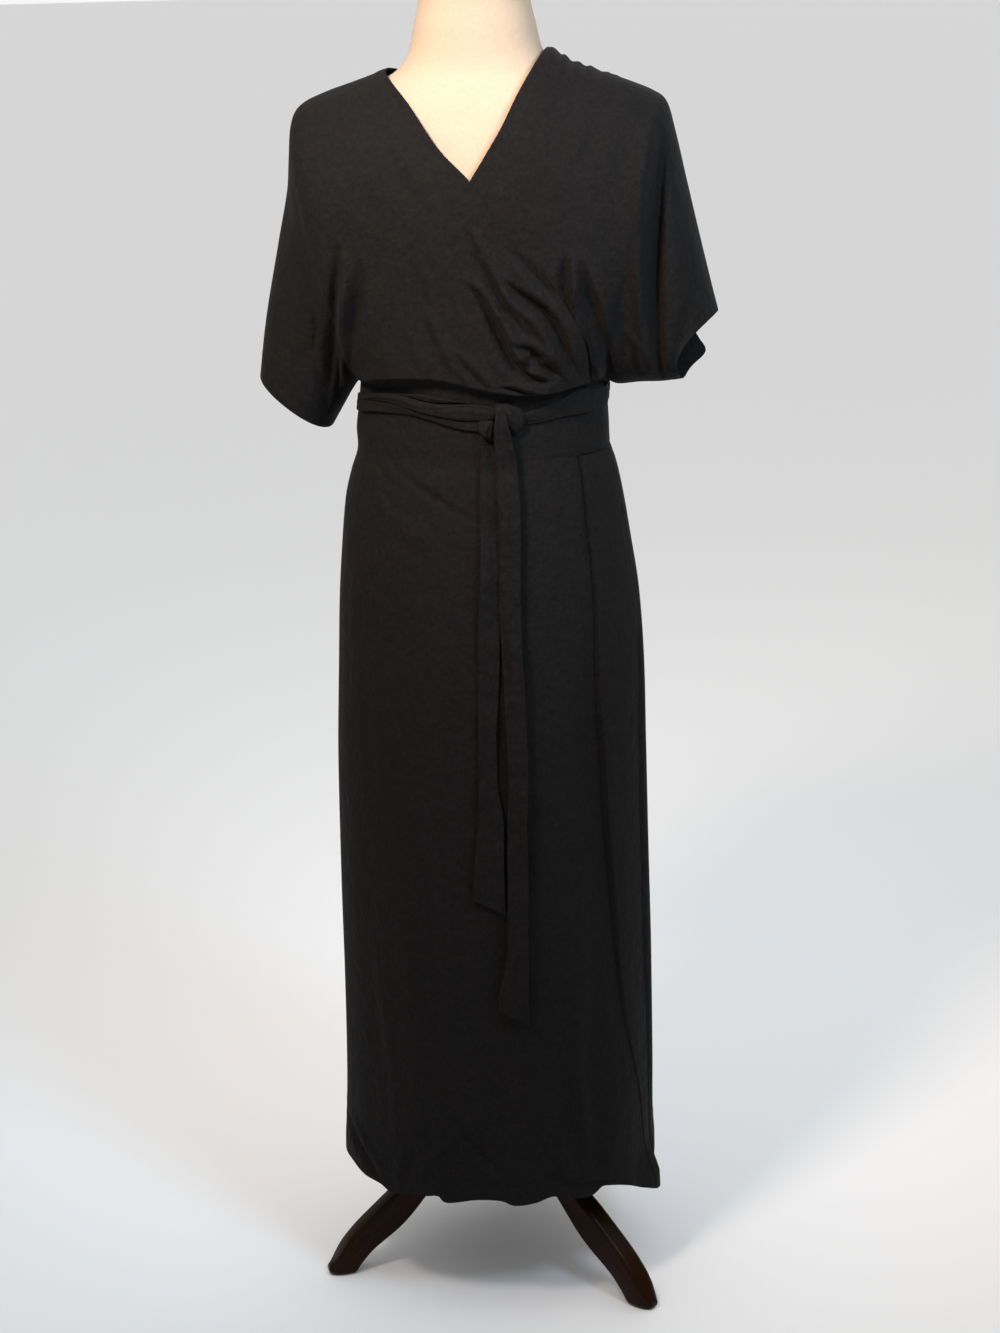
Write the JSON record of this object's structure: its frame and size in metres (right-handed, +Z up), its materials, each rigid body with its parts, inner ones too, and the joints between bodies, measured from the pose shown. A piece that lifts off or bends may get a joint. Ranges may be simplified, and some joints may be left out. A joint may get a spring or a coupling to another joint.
{
  "type": "wrap dress on dress form with tripod stand",
  "caption": "Long wrap dress with kimono sleeves, tie belt and pleated wrap skirt, worn on a limbless form with a wooden tripod stand.",
  "frame": {"origin": "on the floor, under the centre of the whole object's box", "axes": "+Z up, the dress's front faces -Y, the wearer's left is towards +X"},
  "size_m": [0.5066, 0.3933, 1.505],
  "materials": {
    "crepe": "matt black crepe with a soft drape",
    "jersey": "cream cotton jersey stretched smooth",
    "mahogany": "dark red-brown stain under gloss varnish",
    "steel": "black satin paint"
  },
  "bodies": {
    "root": {"form_torso": "jersey", "stand_flange": "steel", "stand_pole": "steel", "stand_hub": "mahogany", "leg_right": "mahogany", "leg_left": "mahogany", "leg_rear": "mahogany", "bodice_front_right": "crepe", "bodice_front_left": "crepe", "bodice_back": "crepe", "waistband_over": "crepe", "waistband_under": "crepe", "waistband_back": "crepe", "skirt_front_over": "crepe", "skirt_front_under": "crepe", "skirt_back": "crepe", "belt_right_upper": "crepe", "belt_right_lower": "crepe", "belt_left": "crepe", "belt_back": "crepe", "belt_knot_loop": "crepe", "belt_knot_turn": "crepe", "belt_tail_long": "crepe", "belt_tail_short": "crepe"}
  },
  "joints": []
}
